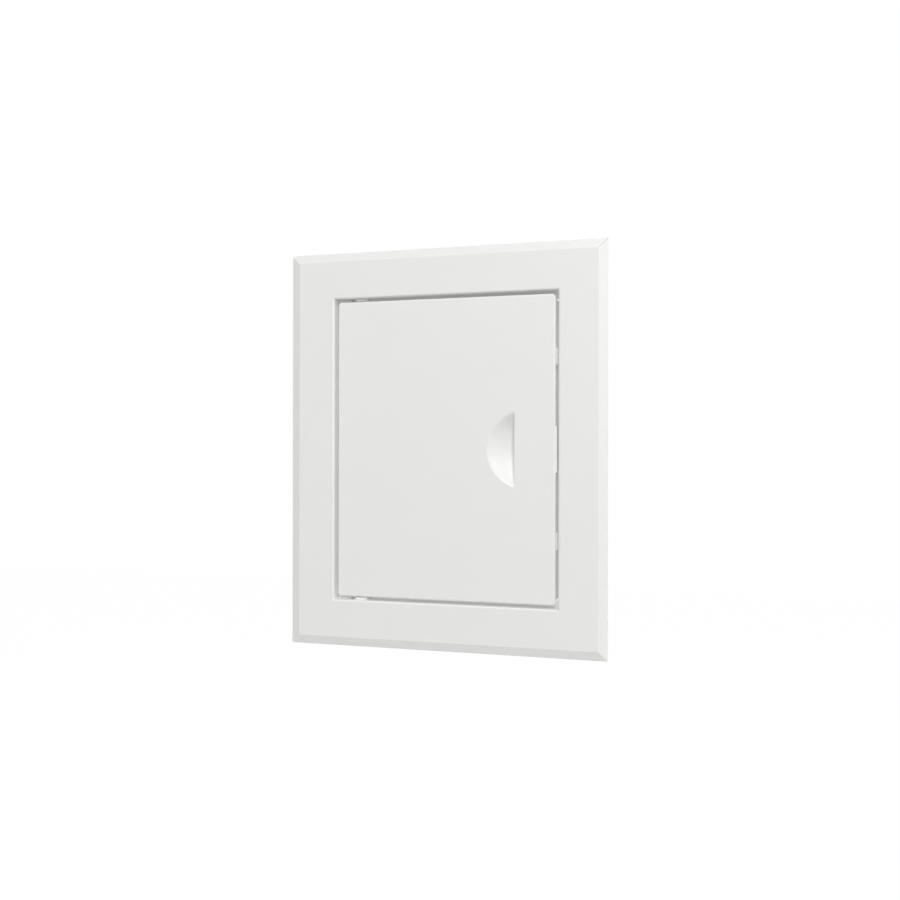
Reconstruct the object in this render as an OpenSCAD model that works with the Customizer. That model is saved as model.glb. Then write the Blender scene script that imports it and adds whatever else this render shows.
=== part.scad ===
// Folded sheet-steel access panel: a face frame for a wall opening and a hinged door with a pressed pull.
// The face looks along -Y, +Z is up, and the wall surface is the plane y = 0. Sizes are in millimetres.

/* [Face frame] */
// Overall width of the face flange
frame_w = 202; // [180:1:400]
// Overall height of the face flange
frame_h = 250; // [230:1:600]
// Width of the flange, from its outer edge to the opening
flange_w = 29.25; // [22:0.25:34]
// Width of the sloping lip round the flange, seen from the front
lip_w = 5.5; // [3:0.5:10]
// Distance that the lip's outer edge falls back towards the wall
lip_drop = 1.7; // [1:0.1:4]
// Depth of the collar behind the wall surface
collar_depth = 32; // [30:0.5:60]
// Open seam between two lips that meet at a corner
lip_seam = 0.3; // [0.2:0.05:0.6]

/* [Sheet] */
// Thickness of the steel sheet
sheet = 0.8; // [0.6:0.1:1.2]
// Inner radius of a fold
fold_in = 0.3; // [0.2:0.05:1.5]

/* [Wall fixing] */
// Radius of the screw holes in the collar's side walls
screw_hole_r = 2.25; // [1.5:0.05:3]
// Distance between the two screw holes of a side wall
screw_pitch = 120; // [60:1:160]
// Distance of the screw holes from the collar's rear edge
screw_edge = 8; // [5:0.5:10]

/* [Door] */
// Gap between the door and the collar, all round
door_gap = 2; // [1.8:0.1:3.5]
// Distance of the door's face behind the flange's face
door_recess = 2; // [0.5:0.1:4]
// Depth of the door's folded sides
door_side = 15; // [14:0.5:18]
// Length by which each upright side stops short of the top and bottom sides
corner_relief = 2; // [1.5:0.1:4]
// Legs of the triangle cut off each of the door's corners
corner_clip = 1.8; // [1:0.1:3]

/* [Guide bumps] */
// Length of a guide bump in the door's free side
bump_len = 12.7; // [9:0.1:20]
// Radius of the bump's round back
bump_r = 3.5; // [3:0.1:4]
// Distance between the two bumps
bump_pitch = 112; // [60:1:140]
// Distance of the bumps behind the door's face
bump_back = 6; // [5.5:0.1:7]
// Gap left between a bump and the collar
bump_clear = 0.5; // [0.4:0.1:1]

/* [Finger pull] */
// Radius of the dish where it meets the door's face
pull_r = 23.7; // [18:0.1:28]
// Depth of the dish at its middle
pull_depth = 9; // [6:0.1:9.5]
// Radius of the soft rim round the dish
pull_rim = 2.5; // [1.5:0.1:4]
// Distance of the straight edge from the door's free edge
pull_edge = 25; // [20:0.1:40]
// Distance by which the dish's middle lies beyond the straight edge
pull_offset = 7.2; // [2:0.1:10]

/* [Hinge] */
// Distance of the pivot axis from the door's hinge edge
pivot_inset = 9.5; // [8.5:0.1:13]
// Distance of the pivot axis behind the door's face
pivot_back = 6; // [5:0.1:7]
// Radius of a pivot pin
pin_r = 1.25; // [1:0.05:1.6]
// Running clearance of a pin in its bush, on the radius
pin_fit = 0.05; // [0.02:0.01:0.09]
// Length of pin that stands out of the bush inside the door
pin_end = 1.5; // [0.5:0.1:4]
// Radius of a pin's riveted head
pin_head_r = 2.4; // [2.1:0.1:3.2]
// Height of a pin's riveted head
pin_head_h = 1; // [0.6:0.1:1.5]
// Radius of the washer under the riveted head
washer_r = 3.6; // [3.4:0.1:5]
// Thickness of the washer
washer_t = 0.8; // [0.5:0.1:1.2]
// Wall of a bush's sleeve
bush_wall = 1; // [0.8:0.1:1.5]
// Width of the bush's flange round the sleeve
bush_flange_w = 1; // [0.8:0.1:1.5]
// Thickness of the bush's flange
bush_flange_t = 0.4; // [0.3:0.05:0.7]
// Width of the snap rim that holds the bush inside the door
bush_rim_w = 0.4; // [0.2:0.05:0.8]
// Height of the snap rim
bush_rim_t = 1.2; // [0.8:0.1:2]
// Clearance of parts that sit in a hole, on the radius
seat_fit = 0.05; // [0.02:0.01:0.1]
// Upright play of the door between the spacers, at each end
axial_play = 0.1; // [0.05:0.05:0.4]

/* [Hinge spacers] */
// Width of the clear space between a pin and the spacer's notch
notch_clear = 0.85; // [0.6:0.05:1.5]
// Gap between a spacer and the collar's hinge wall
spacer_wall_gap = 1; // [0.5:0.1:3]
// Reach of a spacer past the pivot axis
spacer_reach = 9; // [8:0.1:11]
// Distance from the pivot axis to the front of the spacer's short leg
short_leg = 2; // [1:0.1:3]
// Distance from the pivot axis to the front of the spacer's long leg
long_leg = 4.5; // [3.5:0.1:5]
// Distance from the pivot axis to the spacer's rear edge
spacer_rear = 5.5; // [4.5:0.1:8]
// Size of the slant at the end of the long leg
spacer_slant = 2.5; // [1:0.1:4]
// Radius of the staked pegs that hold a spacer
peg_r = 1.2; // [1:0.1:1.5]
// Radius of a peg's staked head
peg_head_r = 1.9; // [1.7:0.1:2.4]
// Height of a peg's staked head
peg_head_h = 0.6; // [0.4:0.1:1]

/* [Magnetic catch] */
// Height of the magnet holder
holder_h = 28; // [24:0.5:40]
// Wall of the holder round its pocket
holder_wall = 1.5; // [1:0.1:2.5]
// Radius of the holder's corners
holder_corner = 1; // [0.5:0.1:1.4]
// Gap left between the holder's outer leg and the collar
leg_clear = 1.2; // [1:0.1:1.4]
// Distance that the holder stands out behind the door's sides
holder_proud = 2; // [1.6:0.1:3]
// Gap between the holder and the door's face
holder_setback = 0.6; // [0.3:0.1:1]
// Thickness of the bridge that joins the outer leg to the holder
bridge_t = 1.2; // [0.8:0.1:2]
// Radius of the snap nib in the door's side
nib_r = 2; // [1.5:0.1:2.5]
// Gap between the snap nib and the holder's outer leg
nib_clear = 0.2; // [0.1:0.05:0.4]
// Length of the magnet
magnet_len = 22; // [16:0.5:23]
// Thickness of the magnet
magnet_t = 4; // [3:0.1:6]
// Depth of the magnet's pocket
pocket_depth = 9; // [6:0.1:11]
// Clearance round the magnet and its plates
pocket_fit = 0.1; // [0.05:0.05:0.2]
// Depth by which the magnet sits below the holder's rear
magnet_recess = 0.6; // [0.2:0.1:1]
// Thickness of a pole plate
pole_t = 0.8; // [0.6:0.1:1.2]
// Distance that the pole plates stand out of the holder
pole_proud = 0.6; // [0.3:0.1:1]
// Gap between the pole plates and the strike tab when the door is shut
catch_gap = 0.3; // [0.2:0.05:0.5]
// Height of the strike tab
strike_h = 26; // [20:0.5:36]
// Distance that the strike tab reaches into the opening
strike_len = 11; // [9:0.1:12]
// Width of the slits beside the strike tab
strike_slit = 0.6; // [0.4:0.1:1]

/* [Hidden] */
$fn = 64;

coat_colour = "#e8e8e5";
plastic_colour = "#f4f4f2";
steel_colour = "#b9bcbf";
magnet_colour = "#3b3b3d";

// Sheet and frame
overcut = 1;
lap = 0.5;
fold_r = sheet + fold_in;
lip_angle = atan2(lip_drop, lip_w);
face_y = -(lip_drop + sheet * cos(lip_angle));
flat_end = flange_w - lip_w;
opening_w = frame_w - 2 * flange_w;
opening_h = frame_h - 2 * flange_w;
screw_y = collar_depth - screw_edge;

// Door
door_w = opening_w - 2 * door_gap;
door_h = opening_h - 2 * door_gap;
door_y = face_y + door_recess;
door_back = door_y + door_side;
free_side = door_w / 2 - sheet;
bump_h = door_gap - bump_clear;
bump_half = sqrt(bump_r * bump_r - pow(bump_r - bump_h, 2));

// Dish of the pull: a ball's hollow with a round rim that meets the door's face
ball_r = (pull_r * pull_r + pull_depth * pull_depth) / (2 * pull_depth);
ball_front = ball_r - pull_depth;
rim_reach = sqrt(pow(ball_r + pull_rim, 2) - pow(ball_front + pull_rim, 2));
rim_angle = atan2(rim_reach, ball_front + pull_rim);
pull_edge_x = door_w / 2 - pull_edge;

// Hinge
pivot_x = -door_w / 2 + pivot_inset;
pivot_y = door_y + pivot_back;
bush_r = pin_r + pin_fit + bush_wall;
bush_in = door_h / 2 - sheet - bush_rim_t;
collar_out = opening_h / 2 + sheet;
spacer_t = door_gap - bush_flange_t - axial_play;
notch_r = pin_r + notch_clear;
spacer_left = -opening_w / 2 + spacer_wall_gap;
spacer_right = pivot_x + spacer_reach;
peg_y = pivot_y + spacer_rear / 2;
peg_x = [(spacer_left + pivot_x - notch_r) / 2, (spacer_right + pivot_x + notch_r) / 2];

// Catch
leg_t = door_gap - leg_clear;
stack_t = magnet_t + 2 * pole_t;
pocket_w = stack_t + 2 * pocket_fit;
holder_w = pocket_w + 2 * holder_wall;
holder_back = door_back + holder_proud;
holder_front = door_y + sheet + holder_setback;
pocket_floor = holder_back - pocket_depth;
stack_x = free_side - holder_wall - pocket_fit - stack_t;
nib_y = (door_y + fold_r + door_back) / 2;
strike_y = holder_back + pole_proud + catch_gap;
strike_end = opening_w / 2 - strike_len;
window_y = strike_y - fold_in;

// Two halves of a section, drawn from its front corner and lapped in the middle
module both_halves(width, front) {
    for (side = [0, 1]) mirror([side, 0]) translate([width / 2, front]) children();
}

// Section of a block whose two front edges are rounded
module rounded_front(width, front, back, radius) {
    reach = width / 2 + lap;
    depth = back - front;
    both_halves(width, front) {
        polygon([[-reach, 0], [-radius, 0], [0, radius], [0, depth], [-reach, depth]]);
        translate([-radius, radius]) circle(radius);
    }
}

// Section of a block that widens in two round hollows to meet a flat at its front, and the lead before them
module flared_front(width, front, back, radius, lead) {
    reach = width / 2 + lap;
    depth = back - front;
    both_halves(width, front) difference() {
        polygon([[-reach, -lead], [radius, -lead], [radius, 0], [0, radius], [0, depth], [-reach, depth]]);
        translate([radius, radius]) circle(radius);
    }
}

// Block that has the first section across its width and the second down its height
module crossed() {
    intersection() {
        linear_extrude(frame_h, center = true) children(0);
        rotate([0, -90, 0]) linear_extrude(frame_w, center = true) children(1);
    }
}

// Form of the door's outside or of its hollow: a block with all its front edges rounded
module pan_form(inset, back) {
    crossed() {
        rounded_front(door_w - 2 * inset, door_y + inset, back, fold_r - inset);
        rounded_front(door_h - 2 * inset, door_y + inset, back, fold_r - inset);
    }
}

// Form of the collar's outside or of the opening through it, flaring out to the flange
module collar_form(outset, back, lead) {
    crossed() {
        flared_front(opening_w + 2 * outset, face_y + outset, back, fold_r - outset, lead);
        flared_front(opening_h + 2 * outset, face_y + outset, back, fold_r - outset, lead);
    }
}

// Section of the sloping lip, from a lap on the flat out to the wall surface
module lip_section() {
    polygon([
        [flat_end - lap, face_y],
        [flat_end, face_y],
        [flange_w, face_y + lip_drop],
        [flange_w - sheet * sin(lip_angle), 0],
        [flat_end - sheet * tan(lip_angle / 2), face_y + sheet],
        [flat_end - lap, face_y + sheet]
    ]);
}

// Lip along one side of the opening's length, mitred where it meets its neighbours
module lip_run(length) {
    low = flat_end - lap - overcut;
    high = flange_w + overcut;
    reach = length / 2 - lip_seam / sqrt(2);
    intersection() {
        rotate([0, -90, 0]) linear_extrude(length + 2 * high, center = true) lip_section();
        translate([0, overcut, 0]) rotate([90, 0, 0]) linear_extrude(2 * overcut - face_y) polygon([
            [-reach - low, low],
            [reach + low, low],
            [reach + high, high],
            [-reach - high, high]
        ]);
    }
}

// A piece of the upper hinge and its mirror image at the lower hinge
module at_hinge(upper) {
    mirror([0, 0, upper ? 0 : 1]) translate([pivot_x, pivot_y, 0]) children();
}

// Tab lanced out of the collar's free wall and folded into the opening
module strike_tab() {
    translate([0, 0, -strike_h / 2]) linear_extrude(strike_h) {
        translate([opening_w / 2 - fold_in, window_y]) intersection() {
            difference() {
                circle(fold_r);
                circle(fold_in);
            }
            square(fold_r);
        }
        translate([strike_end, strike_y]) square([strike_len - fold_in, sheet]);
        translate([opening_w / 2, window_y - lap]) square([sheet, lap]);
    }
}

module strike_window() {
    window_h = strike_h + 2 * strike_slit;
    translate([opening_w / 2 - overcut, window_y, -window_h / 2])
        cube([sheet + 2 * overcut, strike_len, window_h]);
}

module collar_holes() {
    for (side = [-1, 1], level = [-1, 1])
        translate([side * (opening_w + sheet) / 2, screw_y, level * screw_pitch / 2])
            rotate([0, 90, 0]) cylinder(r = screw_hole_r, h = sheet + overcut, center = true);
    for (level = [-1, 1]) translate([0, 0, level * (opening_h + sheet) / 2]) {
        translate([pivot_x, pivot_y]) cylinder(r = pin_r + seat_fit, h = sheet + overcut, center = true);
        for (x = peg_x)
            translate([x, peg_y]) cylinder(r = peg_r + seat_fit, h = sheet + overcut, center = true);
    }
}

module face_frame() color(coat_colour) {
    difference() {
        union() {
            translate([0, face_y + sheet, 0]) rotate([90, 0, 0]) linear_extrude(sheet)
                square([frame_w - 2 * lip_w, frame_h - 2 * lip_w], center = true);
            for (turn = [0, 180]) rotate([0, turn, 0]) translate([0, 0, opening_h / 2]) lip_run(opening_w);
            for (turn = [90, 270]) rotate([0, turn, 0]) translate([0, 0, opening_w / 2]) lip_run(opening_h);
            collar_form(sheet, collar_depth, sheet / 2);
        }
        collar_form(0, collar_depth + overcut, overcut);
        collar_holes();
        strike_window();
    }
    strike_tab();
}

// Forked spacer: two legs either side of the pin, staked to the collar by two pegs
module hinge_spacer(upper) color(plastic_colour) mirror([0, 0, upper ? 0 : 1]) {
    translate([0, 0, opening_h / 2 - spacer_t]) linear_extrude(spacer_t) difference() {
        polygon([
            [spacer_left, pivot_y - short_leg],
            [pivot_x, pivot_y - short_leg],
            [pivot_x, pivot_y - long_leg],
            [spacer_right - spacer_slant, pivot_y - long_leg],
            [spacer_right, pivot_y - long_leg + spacer_slant],
            [spacer_right, pivot_y + spacer_rear],
            [spacer_left, pivot_y + spacer_rear]
        ]);
        translate([pivot_x, pivot_y]) circle(notch_r);
        translate([pivot_x - notch_r, pivot_y - long_leg - overcut])
            square([2 * notch_r, long_leg + overcut]);
    }
    for (x = peg_x) translate([x, peg_y, opening_h / 2]) {
        translate([0, 0, -lap]) cylinder(r = peg_r, h = lap + sheet + peg_head_h / 2);
        translate([0, 0, sheet]) cylinder(r = peg_head_r, h = peg_head_h);
    }
}

module upper_hinge_spacer() hinge_spacer(true);

module lower_hinge_spacer() hinge_spacer(false);

// Plain pin with a low round head riveted over the washer
module pivot_pin(upper) color(steel_colour) at_hinge(upper) {
    head_ball = (pin_head_r * pin_head_r + pin_head_h * pin_head_h) / (2 * pin_head_h);
    head_seat = collar_out + washer_t;
    pin_low = bush_in - pin_end;
    translate([0, 0, pin_low]) cylinder(r = pin_r, h = head_seat + pin_head_h / 2 - pin_low);
    translate([0, 0, head_seat]) intersection() {
        translate([0, 0, pin_head_h - head_ball]) sphere(head_ball);
        cylinder(r = pin_head_r, h = pin_head_h);
    }
}

module upper_pivot_pin() pivot_pin(true);

module lower_pivot_pin() pivot_pin(false);

module pin_washer(upper) color(steel_colour) at_hinge(upper) translate([0, 0, collar_out]) difference() {
    cylinder(r = washer_r, h = washer_t);
    translate([0, 0, -overcut]) cylinder(r = pin_r + seat_fit, h = washer_t + 2 * overcut);
}

module upper_pin_washer() pin_washer(true);

module lower_pin_washer() pin_washer(false);

// Section of the pull's sheet, out from its middle: the ball's hollow, the round rim and a lap on the face
module pull_section() {
    far = ball_r + 2 * sheet;
    translate([0, -ball_front]) intersection() {
        difference() {
            circle(ball_r + sheet, $fn = 128);
            circle(ball_r, $fn = 128);
        }
        polygon([[0, 0], [far * tan(rim_angle), far], [0, far]]);
    }
    near = 2 * pull_rim;
    translate([rim_reach, pull_rim]) intersection() {
        difference() {
            circle(pull_rim);
            circle(pull_rim - sheet);
        }
        polygon([[0, 0], [-near * tan(rim_angle), -near], [0, -near]]);
    }
    translate([rim_reach, 0]) square([lap, sheet]);
}

// The side of the straight edge that the dish is pressed into
module pull_half() {
    reach = rim_reach + overcut;
    translate([pull_edge_x - reach, door_y - overcut, -reach])
        cube([reach, pull_depth + sheet + 2 * overcut, 2 * reach]);
}

module at_pull() {
    translate([pull_edge_x + pull_offset, door_y, 0]) rotate([-90, 0, 0]) children();
}

// Long round form of a guide bump, swelling out of the door's free side
module bump_form(radius) {
    straight = bump_len - 2 * bump_half;
    translate([door_w / 2 + bump_h - bump_r, door_y + bump_back, 0]) {
        cylinder(r = radius, h = straight, center = true);
        for (end = [-1, 1]) translate([0, 0, end * straight / 2]) sphere(radius);
    }
}

module on_bumps() {
    for (level = [-1, 1]) translate([0, 0, level * bump_pitch / 2]) children();
}

module corner_notches() {
    for (side = [-1, 1], level = [-1, 1])
        translate([side * door_w / 2, (door_y + fold_r + door_back + overcut) / 2,
                   level * (door_h / 2 - sheet - corner_relief / 2)])
            cube([2 * fold_r, door_back + overcut - door_y - fold_r, corner_relief], center = true);
}

module corner_clips() {
    clip_side = sqrt(2) * corner_clip;
    for (side = [-1, 1], level = [-1, 1])
        translate([side * door_w / 2, (door_y + door_back) / 2, level * door_h / 2]) rotate([0, 45, 0])
            cube([clip_side, door_side + 2 * overcut, clip_side], center = true);
}

module door_panel() color(coat_colour) {
    difference() {
        union() {
            difference() {
                pan_form(0, door_back);
                pan_form(sheet, door_back + overcut);
                intersection() {
                    at_pull() translate([0, 0, -overcut]) cylinder(r = rim_reach, h = sheet + 2 * overcut);
                    pull_half();
                }
            }
            on_bumps() intersection() {
                bump_form(bump_r);
                translate([free_side, door_y, -bump_len]) cube([bump_r, door_side, 2 * bump_len]);
            }
        }
        on_bumps() bump_form(bump_r - sheet);
        corner_notches();
        corner_clips();
        for (upper = [true, false]) at_hinge(upper) translate([0, 0, door_h / 2 - sheet - overcut])
            cylinder(r = bush_r + seat_fit, h = sheet + 2 * overcut);
        translate([free_side - overcut, nib_y, 0])
            rotate([0, 90, 0]) cylinder(r = nib_r + seat_fit, h = sheet + 2 * overcut);
    }
    intersection() {
        at_pull() rotate_extrude($fn = 128) pull_section();
        pull_half();
    }
}

// Flanged bush: the flange bears on the spacer, the snap rim holds it in the door
module pivot_bush(upper) color(plastic_colour) at_hinge(upper) difference() {
    union() {
        translate([0, 0, door_h / 2]) cylinder(r = bush_r + bush_flange_w, h = bush_flange_t);
        translate([0, 0, bush_in]) cylinder(r = bush_r, h = door_h / 2 + bush_flange_t / 2 - bush_in);
        translate([0, 0, bush_in]) cylinder(r = bush_r + bush_rim_w, h = bush_rim_t);
    }
    translate([0, 0, bush_in - overcut])
        cylinder(r = pin_r + pin_fit, h = sheet + bush_rim_t + bush_flange_t + 2 * overcut);
}

module upper_pivot_bush() pivot_bush(true);

module lower_pivot_bush() pivot_bush(false);

module rounded_block(width, depth, corner) {
    translate([corner, 0]) square([width - 2 * corner, depth]);
    translate([0, corner]) square([width, depth - 2 * corner]);
    for (x = [corner, width - corner], y = [corner, depth - corner]) translate([x, y]) circle(corner);
}

// Clip pushed over the door's free side: magnet pocket inside, thin leg outside, snap nib in the side's hole
module magnet_holder() color(plastic_colour) {
    pocket_h = magnet_len + 2 * pocket_fit;
    leg_front = door_y + fold_r;
    difference() {
        translate([0, 0, -holder_h / 2]) linear_extrude(holder_h) {
            translate([free_side - holder_w, holder_front])
                rounded_block(holder_w, holder_back - holder_front, holder_corner);
            translate([free_side - holder_wall, door_back]) square([holder_wall + sheet + leg_t, bridge_t]);
            translate([door_w / 2, leg_front]) square([leg_t, door_back - leg_front + bridge_t]);
        }
        translate([free_side - holder_wall - pocket_w, pocket_floor, -pocket_h / 2])
            cube([pocket_w, pocket_depth + overcut, pocket_h]);
    }
    translate([free_side - holder_wall / 2, nib_y, 0])
        rotate([0, 90, 0]) cylinder(r = nib_r, h = holder_wall / 2 + sheet - nib_clear);
}

// Block of the magnet's height that stands on the floor of the holder's pocket
module in_pocket(x, thickness, depth) {
    translate([x, pocket_floor, -magnet_len / 2]) cube([thickness, depth, magnet_len]);
}

module magnet() color(magnet_colour) in_pocket(stack_x + pole_t, magnet_t, pocket_depth - magnet_recess);

module inner_pole_plate() color(steel_colour) in_pocket(stack_x, pole_t, pocket_depth + pole_proud);

module outer_pole_plate() color(steel_colour)
    in_pocket(stack_x + pole_t + magnet_t, pole_t, pocket_depth + pole_proud);

face_frame();
upper_hinge_spacer();
lower_hinge_spacer();
upper_pivot_pin();
lower_pivot_pin();
upper_pin_washer();
lower_pin_washer();
door_panel();
upper_pivot_bush();
lower_pivot_bush();
magnet_holder();
magnet();
inner_pole_plate();
outer_pole_plate();
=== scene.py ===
import math

import bpy
from mathutils import Euler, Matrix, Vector

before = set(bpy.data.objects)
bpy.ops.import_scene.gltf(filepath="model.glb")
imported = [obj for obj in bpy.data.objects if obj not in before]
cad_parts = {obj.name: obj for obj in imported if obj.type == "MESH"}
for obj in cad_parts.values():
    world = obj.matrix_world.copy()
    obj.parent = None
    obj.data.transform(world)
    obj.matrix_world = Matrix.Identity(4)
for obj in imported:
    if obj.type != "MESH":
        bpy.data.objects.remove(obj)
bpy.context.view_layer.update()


# Face frame: four lengths of one folded steel profile, mitred and welded, with the face welds ground
# flush and the mitres of the sloping lips left open. It is powder coated white all over after welding,
# so the coat rounds every cut edge and lies in a fine orange peel.
class Shade:
    """A shader socket. Arithmetic on it adds Math nodes, and node() adds any other node to its tree."""

    def __init__(self, tree, socket=None):
        self.tree = tree
        self.socket = socket

    def node(self, kind, settings, inputs, output=0):
        made = self.tree.nodes.new("ShaderNode" + kind)
        for name, value in settings.items():
            setattr(made, name, value)
        for name, value in inputs.items():
            if isinstance(value, Shade):
                self.tree.links.new(value.socket, made.inputs[name])
            else:
                made.inputs[name].default_value = value
        return Shade(self.tree, made.outputs[output] if made.outputs else None)

    def __add__(self, other):
        return self.node("Math", {"operation": "ADD"}, {0: self, 1: other})

    def __mul__(self, other):
        return self.node("Math", {"operation": "MULTIPLY"}, {0: self, 1: other})

    __radd__ = __add__
    __rmul__ = __mul__


def new_finish(name):
    """An empty material and the shade that fills it."""
    material = bpy.data.materials.new(name)
    material.use_nodes = True
    material.node_tree.nodes.clear()
    return material, Shade(material.node_tree)


def noise(shade, place, size, detail):
    """Soft noise whose lumps are about as wide as size, in metres."""
    return shade.node("TexNoise", {}, {"Vector": place, "Scale": 1 / size, "Detail": detail})


def mixed_colour(shade, share, first, second):
    """A colour that goes from first to second as share goes from 0 to 1."""
    share_input = 0
    first_input = 6
    second_input = 7
    colour_output = 2
    colours = {share_input: share, first_input: first, second_input: second}
    return shade.node("Mix", {"data_type": "RGBA"}, colours, colour_output)


def rounded_edges(shade, radius):
    """The surface's own normal, with its sharp edges rounded off."""
    return shade.node("Bevel", {"samples": 6}, {"Radius": radius})


def close_finish(shade, colour, roughness, normal, metallic=0.0):
    """The last nodes of a finish: one surface with its colour, gloss and relief."""
    surface = shade.node("BsdfPrincipled", {}, {
        "Base Color": colour,
        "Metallic": metallic,
        "Roughness": roughness,
        "Normal": normal,
    })
    shade.node("OutputMaterial", {}, {"Surface": surface})


def dress(nodes, material):
    """Gives each of the named pieces its finish."""
    for node in nodes:
        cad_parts[node].material_slots[0].material = material


def powder_coat(name):
    """White powder coat: broad faint clouds, orange peel, and a fine grain in its satin gloss."""
    pale = (0.855, 0.855, 0.840, 1)
    deep = (0.825, 0.826, 0.812, 1)
    cloud_size = 0.030
    cloud_tone = 0.45
    peel_size = 0.0014
    peel_tone = 0.25
    peel_height = 0.75
    peel_depth = 0.00006
    grain_size = 0.00035
    grain_tone = 0.30
    grain_height = 0.25
    least_rough = 0.30
    grain_rough = 0.08
    edge_radius = 0.0002

    material, shade = new_finish(name)
    place = shade.node("TexCoord", {}, {}, "Object")
    cloud = noise(shade, place, cloud_size, detail=3)
    peel = noise(shade, place, peel_size, detail=1)
    grain = noise(shade, place, grain_size, detail=2)
    tone = cloud_tone * cloud + peel_tone * peel + grain_tone * grain
    normal = shade.node("Bump", {}, {
        "Strength": 0.5,
        "Distance": peel_depth,
        "Height": peel_height * peel + grain_height * grain,
        "Normal": rounded_edges(shade, edge_radius),
    })
    close_finish(shade, mixed_colour(shade, tone, deep, pale), least_rough + grain_rough * grain, normal)
    return material


dress(["face_frame"], powder_coat("frame_powder_coat"))


# Hinge spacers: two white moulded forks that sit round the pivot pins, between the collar and the door,
# each held by two pegs staked through the collar.
white_pale = (0.87, 0.87, 0.86, 1)
white_deep = (0.83, 0.83, 0.82, 1)


def moulded_plastic(name, pale, deep):
    """Matt moulded plastic: a fine spark-eroded skin with a faint flow of the melt."""
    flow_size = 0.006
    flow_tone = 0.6
    skin_size = 0.00025
    skin_tone = 0.4
    skin_depth = 0.00003
    least_rough = 0.40
    skin_rough = 0.15
    edge_radius = 0.00015

    material, shade = new_finish(name)
    place = shade.node("TexCoord", {}, {}, "Object")
    flow = noise(shade, place, flow_size, detail=2)
    skin = noise(shade, place, skin_size, detail=2)
    tone = flow_tone * flow + skin_tone * skin
    normal = shade.node("Bump", {}, {
        "Strength": 0.5,
        "Distance": skin_depth,
        "Height": skin,
        "Normal": rounded_edges(shade, edge_radius),
    })
    close_finish(shade, mixed_colour(shade, tone, deep, pale), least_rough + skin_rough * skin, normal)
    return material


spacer_plastic = moulded_plastic("spacer_plastic", white_pale, white_deep)
dress(["upper_hinge_spacer", "lower_hinge_spacer"], spacer_plastic)


# Pivot pins and washers: plain steel pins, zinc plated, riveted through the collar over a washer.
# The plating is bright but uneven, with fine turning marks round each piece.
def zinc_plate(name):
    """Zinc plating on steel: cool and warm patches, fine marks along one way, a soft metal gloss."""
    cool = (0.60, 0.62, 0.64, 1)
    warm = (0.66, 0.65, 0.61, 1)
    patch_size = 0.004
    mark_width = 0.0002
    mark_run = 12
    mark_depth = 0.00001
    least_rough = 0.24
    mark_rough = 0.16

    material, shade = new_finish(name)
    place = shade.node("TexCoord", {}, {}, "Object")
    patch = noise(shade, place, patch_size, detail=3)
    stretched = shade.node("VectorMath", {"operation": "MULTIPLY"}, {0: place, 1: (1, 1, mark_run)})
    mark = noise(shade, stretched, mark_width * mark_run, detail=2)
    normal = shade.node("Bump", {}, {"Strength": 0.4, "Distance": mark_depth, "Height": mark})
    colour = mixed_colour(shade, patch, cool, warm)
    close_finish(shade, colour, least_rough + mark_rough * mark, normal, metallic=1.0)
    return material


pins_and_washers = ["upper_pivot_pin", "lower_pivot_pin", "upper_pin_washer", "lower_pin_washer"]
dress(pins_and_washers, zinc_plate("pin_zinc"))


# Door: one folded steel pan with the half-moon pull pressed into its face and two guide bumps on its
# free side. It has the same white powder coat as the frame.
dress(["door_panel"], powder_coat("door_powder_coat"))


# Pivot bushes: small flanged nylon sleeves snapped into the door's top and bottom sides, where they run
# on the pins. Bare nylon is a little yellower than the white mouldings.
nylon_pale = (0.82, 0.81, 0.77, 1)
nylon_deep = (0.77, 0.76, 0.71, 1)
dress(["upper_pivot_bush", "lower_pivot_bush"], moulded_plastic("bush_nylon", nylon_pale, nylon_deep))


# Magnetic catch: a white moulded clip pushed over the door's free side, with a dark sintered magnet in
# its pocket between two zinc-plated pole plates.
def sintered_ferrite(name):
    """Sintered magnet: dull charcoal with paler grains and small open pores."""
    charcoal = (0.035, 0.035, 0.038, 1)
    grain_colour = (0.090, 0.090, 0.095, 1)
    grain_size = 0.0004
    grain_height = 0.4
    pore_size = 0.0012
    pore_height = 0.6
    pore_depth = 0.00005
    least_rough = 0.5
    pore_rough = 0.2

    material, shade = new_finish(name)
    place = shade.node("TexCoord", {}, {}, "Object")
    grain = noise(shade, place, grain_size, detail=3)
    pore = noise(shade, place, pore_size, detail=2)
    normal = shade.node("Bump", {}, {
        "Strength": 0.6,
        "Distance": pore_depth,
        "Height": pore_height * pore + grain_height * grain,
    })
    colour = mixed_colour(shade, grain, charcoal, grain_colour)
    close_finish(shade, colour, least_rough + pore_rough * pore, normal)
    return material


dress(["magnet_holder"], moulded_plastic("holder_plastic", white_pale, white_deep))
dress(["magnet"], sintered_ferrite("magnet_ferrite"))
dress(["inner_pole_plate", "outer_pole_plate"], zinc_plate("pole_plate_zinc"))


# Studio: a pale floor far below the panel, and a white surround that lights it only as a dim room would.
# The camera and reflections see both as white, with a tenth of the floor's own shading left in it.
# Three lamps stand in front of the panel and one behind it.
floor_drop = 1.0
floor_half = 6.0
floor_colour = (0.60, 0.60, 0.60, 1)
floor_glow_share = 0.9
floor_glow_strength = 1.08
room_strength = 0.34
backdrop_strength = 1.0
white = (1, 1, 1, 1)


def seen_directly(shade):
    """1 on rays from the camera, on reflections and through glass, and 0 on all other light."""
    camera = shade.node("LightPath", {}, {}, "Is Camera Ray")
    glossy = shade.node("LightPath", {}, {}, "Is Glossy Ray")
    through = shade.node("LightPath", {}, {}, "Is Transmission Ray")
    return camera + glossy + through


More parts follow.
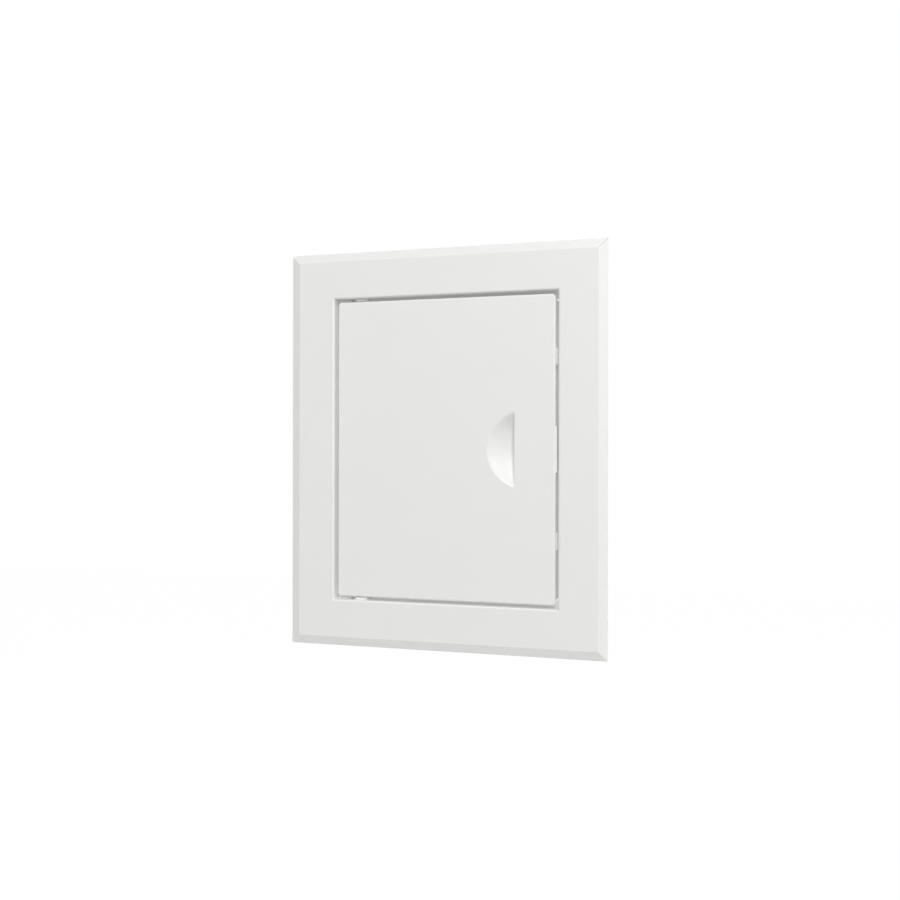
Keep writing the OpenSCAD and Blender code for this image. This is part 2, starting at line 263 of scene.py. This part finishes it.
world = bpy.data.worlds.new("studio")
bpy.context.scene.world = world
world.use_nodes = True
world.node_tree.nodes.clear()
shade = Shade(world.node_tree)
room = shade.node("Background", {}, {"Color": white, "Strength": room_strength})
backdrop = shade.node("Background", {}, {"Color": white, "Strength": backdrop_strength})
surround = shade.node("MixShader", {}, {0: seen_directly(shade), 1: room, 2: backdrop})
shade.node("OutputWorld", {}, {"Surface": surround})

floor_mesh = bpy.data.meshes.new("floor")
floor_signs = ((-1, -1), (1, -1), (1, 1), (-1, 1))
floor_corners = [(x * floor_half, y * floor_half, -floor_drop) for x, y in floor_signs]
floor_mesh.from_pydata(floor_corners, [], [(0, 1, 2, 3)])
floor = bpy.data.objects.new("floor", floor_mesh)
bpy.context.scene.collection.objects.link(floor)
floor_paint, shade = new_finish("floor_paint")
matt = shade.node("BsdfDiffuse", {}, {"Color": floor_colour})
glow = shade.node("Emission", {}, {"Color": white, "Strength": floor_glow_strength})
glow_seen = floor_glow_share * seen_directly(shade)
floor_surface = shade.node("MixShader", {}, {0: glow_seen, 1: matt, 2: glow})
shade.node("OutputMaterial", {}, {"Surface": floor_surface})
floor_mesh.materials.append(floor_paint)


def soft_lamp(name, towards, distance, width, power, shadow):
    """A square lamp that stands towards one side of the panel's middle and faces it. One that casts no
    shadow stands for the light of a wide white wall, which reaches into the gaps."""
    lamp_data = bpy.data.lights.new(name, "AREA")
    lamp_data.size = width
    lamp_data.energy = power
    lamp_data.use_shadow = shadow
    lamp = bpy.data.objects.new(name, lamp_data)
    place = Vector(towards).normalized()
    lamp.location = place * distance
    lamp.rotation_euler = place.to_track_quat("Z", "Y").to_euler()
    lamp.visible_camera = False
    bpy.context.scene.collection.objects.link(lamp)


soft_lamp("key_lamp", towards=(0.3, -1.0, 1.0), distance=3.5, width=1.0, power=39.0, shadow=True)
soft_lamp("side_lamp", towards=(1.0, -0.4, 0.6), distance=3.5, width=1.7, power=25.0, shadow=False)
soft_lamp("fill_lamp", towards=(0.3, -1.0, 0.35), distance=3.5, width=1.7, power=35.0, shadow=True)
soft_lamp("rear_lamp", towards=(-0.5, 1.0, 0.7), distance=2.5, width=1.2, power=14.0, shadow=True)


# Camera: level with the panel's middle, a little to the right of it and close. Its place, turn and lens
# were fitted to the corners of the flange, the opening and the door.
lens = 35.56
sensor = 36.0
nearest_seen = 0.01
camera_place = Vector((0.1464, -0.5315, -0.0006))
camera_turn = Euler((math.radians(90.03), math.radians(-0.11), math.radians(14.97)))
camera_data = bpy.data.cameras.new("camera")
camera_data.sensor_width = sensor
camera_data.lens = lens
camera_data.clip_start = nearest_seen
camera = bpy.data.objects.new("camera", camera_data)
camera.location = camera_place
camera.rotation_euler = camera_turn
bpy.context.scene.collection.objects.link(camera)
bpy.context.scene.camera = camera
bpy.context.scene.view_settings.view_transform = "Standard"
